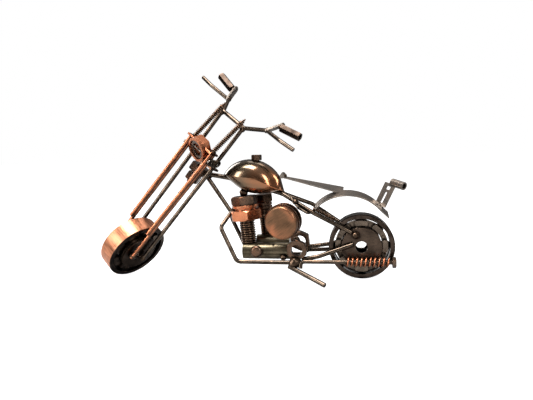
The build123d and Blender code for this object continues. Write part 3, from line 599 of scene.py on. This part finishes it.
# Ball steel is polished before it meets the bath, so it has almost no scratches.
polished_ball = rubbed_plate("bronze_tinted_polished_ball_steel", "#2C241E", "#85776A", "#A8937F",
                             rubbed=0.35, blotch_share=0.4, scratch_share=0.1, edge_share=0.0,
                             gloss=(0.08, 0.16), relief=0.01)
for end, axle in (("rear", rear_axle), ("front", front_axle)):
    balls = grown(ball_tree, polished_ball, Ring_Radius=16.75 * MM, Ball_Radius=3.97 * MM, Balls=8)
    balls.transform(axle)
    settle(joined(f"{end}_bearing_balls", polished_ball, balls), f"{end}_ball_cage", f"{end}_balls")
print("faces in one ring of balls:", len(balls.polygons))

# %% [markdown]
# ## Weld beads
# Each joint has a lump of weld metal laid in a few drops. The CAD model has one round bead at each joint,
# so its beads say where the drops go: every bead becomes a point with a radius, the tree lays four drops
# a little apart on each point, and noise roughens them.

# %% Weld beads
DROP_R = 0.82                         # share of its bead's radius
ROUGHNESS = 0.6 * MM
bead_tree, size = new_tree("weld drops", Drops=4, Spread=0.4, Roughness=0.2)
source = bead_tree.nodes["Group Input"].outputs["Geometry"]
radius = add_node(bead_tree, "GeometryNodeInputNamedAttribute", {"data_type": "FLOAT"}, Name="bead_radius")
drops = add_node(bead_tree, "GeometryNodeDuplicateElements", {"domain": "POINT"}, Geometry=source,
                 Amount=size["Drops"])
aside = add_node(bead_tree, "FunctionNodeRandomValue", {"data_type": "FLOAT_VECTOR"}, _0=(-1, -1, -1),
                 _1=(1, 1, 1), Seed=7)
spread = add_node(bead_tree, "ShaderNodeMath", {"operation": "MULTIPLY"}, _0=radius.outputs[0],
                  _1=size["Spread"])
shift = add_node(bead_tree, "ShaderNodeVectorMath", {"operation": "SCALE"}, Vector=aside.outputs[0],
                 Scale=spread.outputs[0])
laid = add_node(bead_tree, "GeometryNodeSetPosition", Geometry=drops.outputs[0], Offset=shift.outputs[0])
drop = add_node(bead_tree, "GeometryNodeMeshIcoSphere", Radius=DROP_R, Subdivisions=4)
placed = add_node(bead_tree, "GeometryNodeInstanceOnPoints", Points=laid.outputs[0], Instance=drop.outputs[0],
                  Scale=radius.outputs[0])
lumps = add_node(bead_tree, "GeometryNodeRealizeInstances", Geometry=placed.outputs[0])
ripple = add_node(bead_tree, "ShaderNodeTexNoise", Scale=0.9 / MM, Detail=2.0)
depth = add_node(bead_tree, "ShaderNodeMath", {"operation": "MULTIPLY_ADD"}, _0=ripple.outputs[0],
                 _1=size["Roughness"], _2=-0.5 * ROUGHNESS)
outwards = add_node(bead_tree, "ShaderNodeVectorMath", {"operation": "SCALE"},
                    Vector=bead_tree.nodes.new("GeometryNodeInputNormal").outputs[0], Scale=depth.outputs[0])
rough = add_node(bead_tree, "GeometryNodeSetPosition", Geometry=lumps.outputs[0], Offset=outwards.outputs[0])
close_tree(bead_tree, size, rough.outputs[0])


def bead_points(node):
    """One vertex for each loose bead of a CAD node, with the bead's radius."""
    skin = bmesh.new()
    skin.from_mesh(welded_copy(node))
    left, spots = set(skin.verts), []
    while left:
        group, front = set(), [left.pop()]
        while front:
            vert = front.pop()
            group.add(vert)
            near = {line.other_vert(vert) for line in vert.link_edges} & left
            left -= near
            front.extend(near)
        low = Vector([min(v.co[i] for v in group) for i in range(3)])
        high = Vector([max(v.co[i] for v in group) for i in range(3)])
        spots.append(((low + high) / 2, (high - low).x / 2))
    skin.free()
    mesh = bpy.data.meshes.new(f"{node}_points")
    mesh.from_pydata([spot for spot, _ in spots], [], [])
    mesh.attributes.new("bead_radius", "FLOAT", "POINT").data.foreach_set("value", [r for _, r in spots])
    return mesh


for body in ("frame", "fork"):
    node = f"{body}_weld_beads"
    beads = grown(bead_tree, weld_metal, bead_points(node), Drops=4, Spread=0.3, Roughness=ROUGHNESS)
    settle(joined(f"{body}_welds", weld_metal, beads), body, node)
print("weld faces on the fork:", len(beads.polygons))

# %% [markdown]
# ## The fuel tank
# Two thin domes were pressed over a teardrop former and welded to a flat plate, whose edge shows as a
# seam. A dome is rebuilt here as rings: the seam plate's own outline, shrunk towards the middle of the
# tank as it rises, on the curve of an ellipse. That gives one even skin with no flat end, which the
# highlights need.

# %% Tank domes
TANK_MIDDLE = Vector((-77.0, 0, 51.0)) * MM
SEAM_HALF = 0.6 * MM
DOME_DEPTH = 13.0 * MM
OUTLINE_POINTS, DOME_RINGS = 120, 28
FOOT_SHARE, FULLNESS = 0.97, 0.92     # the foot's size beside the seam plate, and how square the dome is


def seam_outline():
    """The tank's side view, as evenly spaced points round the seam plate's edge."""
    rim = [v.co for v in frame["nodes"]["tank_seam_plate"].data.vertices if v.co.y > SEAM_HALF * 0.9]
    loose = {(round(p.x / MM, 3), round(p.z / MM, 3)) for p in rim}
    edge = [Vector((x * MM, 0, z * MM)) for x, z in loose]
    edge.sort(key=lambda p: -Vector((1, 0)).angle_signed(Vector((p.x - TANK_MIDDLE.x, p.z - TANK_MIDDLE.z))))
    lengths = [(edge[i] - edge[i - 1]).length for i in range(len(edge))]
    total, points = sum(lengths), []
    step, gone, i = total / OUTLINE_POINTS, 0.0, 0
    for k in range(OUTLINE_POINTS):
        while gone + lengths[i] < k * step:
            gone += lengths[i]
            i += 1
        share = (k * step - gone) / lengths[i]
        points.append(edge[i - 1].lerp(edge[i], share))
    return points


def dome(side, outline):
    """One closed half of the tank; side is the way it bulges along Y."""
    skin = bmesh.new()
    rings = []
    for k in range(DOME_RINGS):
        angle = pi / 2 * k / DOME_RINGS
        shrink = FOOT_SHARE * cos(angle) ** FULLNESS
        out = side * (SEAM_HALF + DOME_DEPTH * sin(angle))
        rings.append([skin.verts.new(TANK_MIDDLE + (p - TANK_MIDDLE) * shrink + Vector((0, out, 0)))
                      for p in outline])
    crown = skin.verts.new(TANK_MIDDLE + Vector((0, side * (SEAM_HALF + DOME_DEPTH), 0)))
    for lower, upper in zip(rings, rings[1:]):
        for i in range(OUTLINE_POINTS):
            skin.faces.new((lower[i - 1], lower[i], upper[i], upper[i - 1]))
    for i in range(OUTLINE_POINTS):
        skin.faces.new((rings[-1][i - 1], rings[-1][i], crown))
    skin.faces.new(rings[0])
    bmesh.ops.recalc_face_normals(skin, faces=skin.faces[:])
    for face in skin.faces:
        face.smooth = len(face.verts) < 5
    mesh = bpy.data.meshes.new("dome")
    skin.to_mesh(mesh)
    skin.free()
    return mesh


outline = seam_outline()
for name, side in (("left", -1), ("right", 1)):
    half = joined(f"fuel_tank_{name}_dome", polished_dome, dome(side, outline))
    settle(half, "frame", f"fuel_tank_{name}")
girth = sum((outline[i] - outline[i - 1]).length for i in range(OUTLINE_POINTS))
print("tank outline, mm:", round(girth / MM))

# %% [markdown]
# ## A pale table under soft light
# Metal shows what surrounds it, so the light is the other half of the finish. Broad soft panels overhead
# and to the sides give the long highlights, and the dim room between them gives the dark bands. The table
# and the backdrop are white to the eye, but they light the metal only weakly, as a white sweep does when
# the object stands well in front of it.

# %% Table
FLOOR_Z = -23.5 * MM
TABLE_HALF = 8.0
PAPER_GLOW = 0.90                     # seen by the camera only, so it doesn't light the metal
table_mesh = bpy.data.meshes.new("table")
corners = ((-1, -1), (1, -1), (1, 1), (-1, 1))
table_mesh.from_pydata([(x * TABLE_HALF, y * TABLE_HALF, FLOOR_Z) for x, y in corners], [], [(0, 1, 2, 3)])
table = bpy.data.objects.new("table", table_mesh)
bpy.context.scene.collection.objects.link(table)
paper, tree = new_material("white_paper_sweep")
grain = add_node(tree, "ShaderNodeTexNoise", Scale=900.0, Detail=2.0,
                 Vector=add_node(tree, "ShaderNodeTexCoord").outputs["Object"])
shade = add_node(tree, "ShaderNodeMapRange", Value=grain.outputs["Fac"], To_Min=0.50, To_Max=0.54)
sheet = add_node(tree, "ShaderNodeBsdfDiffuse", Color=shade.outputs[0])
seen = add_node(tree, "ShaderNodeLightPath").outputs["Is Camera Ray"]
lift = add_node(tree, "ShaderNodeMath", {"operation": "MULTIPLY"}, _0=seen, _1=PAPER_GLOW)
glow = add_node(tree, "ShaderNodeEmission", Color=linear("#FFFFFF"), Strength=lift.outputs[0])
paper_white = add_node(tree, "ShaderNodeAddShader", _0=sheet.outputs[0], _1=glow.outputs[0])
add_node(tree, "ShaderNodeOutputMaterial", Surface=paper_white.outputs[0])
table_mesh.materials.append(paper)
print("table height, mm:", FLOOR_Z / MM)


# %% Soft panels and room
BIKE_MIDDLE = (-0.085, 0.0, 0.045)


def soft_panel(name, place, width, height, power, aim=BIKE_MIDDLE):
    """A rectangular soft light, aimed at the middle of the bike."""
    light = bpy.data.lights.new(name, "AREA")
    light.shape = "RECTANGLE"
    light.size, light.size_y, light.energy = width, height, power
    lamp = bpy.data.objects.new(name, light)
    lamp.location = place
    lamp.rotation_euler = (Vector(aim) - Vector(place)).to_track_quat("-Z", "Y").to_euler()
    bpy.context.scene.collection.objects.link(lamp)


soft_panel("overhead_panel", (-0.18, -0.16, 0.60), 0.34, 0.24, 4.4)
soft_panel("left_front_panel", (-0.62, -0.50, 0.26), 0.16, 0.44, 2.6)
soft_panel("right_front_panel", (0.40, -0.62, 0.32), 0.14, 0.36, 1.9)
soft_panel("back_panel", (-0.05, 0.50, 0.80), 0.50, 0.20, 0.8)
soft_panel("right_rear_panel", (0.62, 0.26, 0.30), 0.20, 0.40, 2.0)
soft_panel("far_side_panel", (-0.56, 0.52, 0.34), 0.30, 0.40, 3.0)

FLOOR_LIGHT, CEILING_LIGHT = 0.08, 0.42
room = bpy.data.worlds.new("dim_room")
bpy.context.scene.world = room
room.use_nodes = True
tree = room.node_tree
tree.nodes.clear()
way = add_node(tree, "ShaderNodeTexCoord").outputs["Generated"]
height = add_node(tree, "ShaderNodeSeparateXYZ", Vector=way).outputs["Z"]
walls = add_node(tree, "ShaderNodeMapRange", {"interpolation_type": "SMOOTHSTEP"}, Value=height, From_Min=-0.1,
                 From_Max=0.9, To_Min=FLOOR_LIGHT, To_Max=CEILING_LIGHT)
walls = add_node(tree, "ShaderNodeBackground", Color=linear("#F4F2F0"), Strength=walls.outputs[0])
white = add_node(tree, "ShaderNodeBackground", Color=linear("#FFFFFF"), Strength=1.0)
direct = add_node(tree, "ShaderNodeLightPath").outputs["Is Camera Ray"]
backdrop = add_node(tree, "ShaderNodeMixShader", _0=direct, _1=walls.outputs[0], _2=white.outputs[0])
add_node(tree, "ShaderNodeOutputWorld", Surface=backdrop.outputs[0])
bpy.context.scene.view_settings.view_transform = "Standard"

# %% [markdown]
# ## The camera
# It stands a forearm's length away on the bike's left, a little above the tank, and looks slightly down
# and slightly forward. A short lens at that range gives the wide spread of the fork.

# %% Camera
CAMERA_PLACE = Vector((-11.28, -324.48, 68.66)) * MM
YAW, PITCH, ROLL = -0.1782, 0.1055, -0.0281
look = Vector((sin(YAW) * cos(PITCH), cos(YAW) * cos(PITCH), -sin(PITCH)))
across = look.cross(Vector((0, 0, 1))).normalized()
above = across.cross(look)
rolled_across = across * cos(ROLL) + above * sin(ROLL)
rolled_above = above * cos(ROLL) - across * sin(ROLL)
lens = bpy.data.cameras.new("camera")
lens.lens, lens.sensor_width, lens.clip_start = 29.70, 36.0, 0.01
camera = bpy.data.objects.new("camera", lens)
facing = Matrix((rolled_across, rolled_above, -look)).transposed().to_4x4()
camera.matrix_world = Matrix.Translation(CAMERA_PLACE) @ facing
bpy.context.scene.collection.objects.link(camera)
bpy.context.scene.camera = camera
print("camera, mm:", [round(v / MM) for v in camera.location])
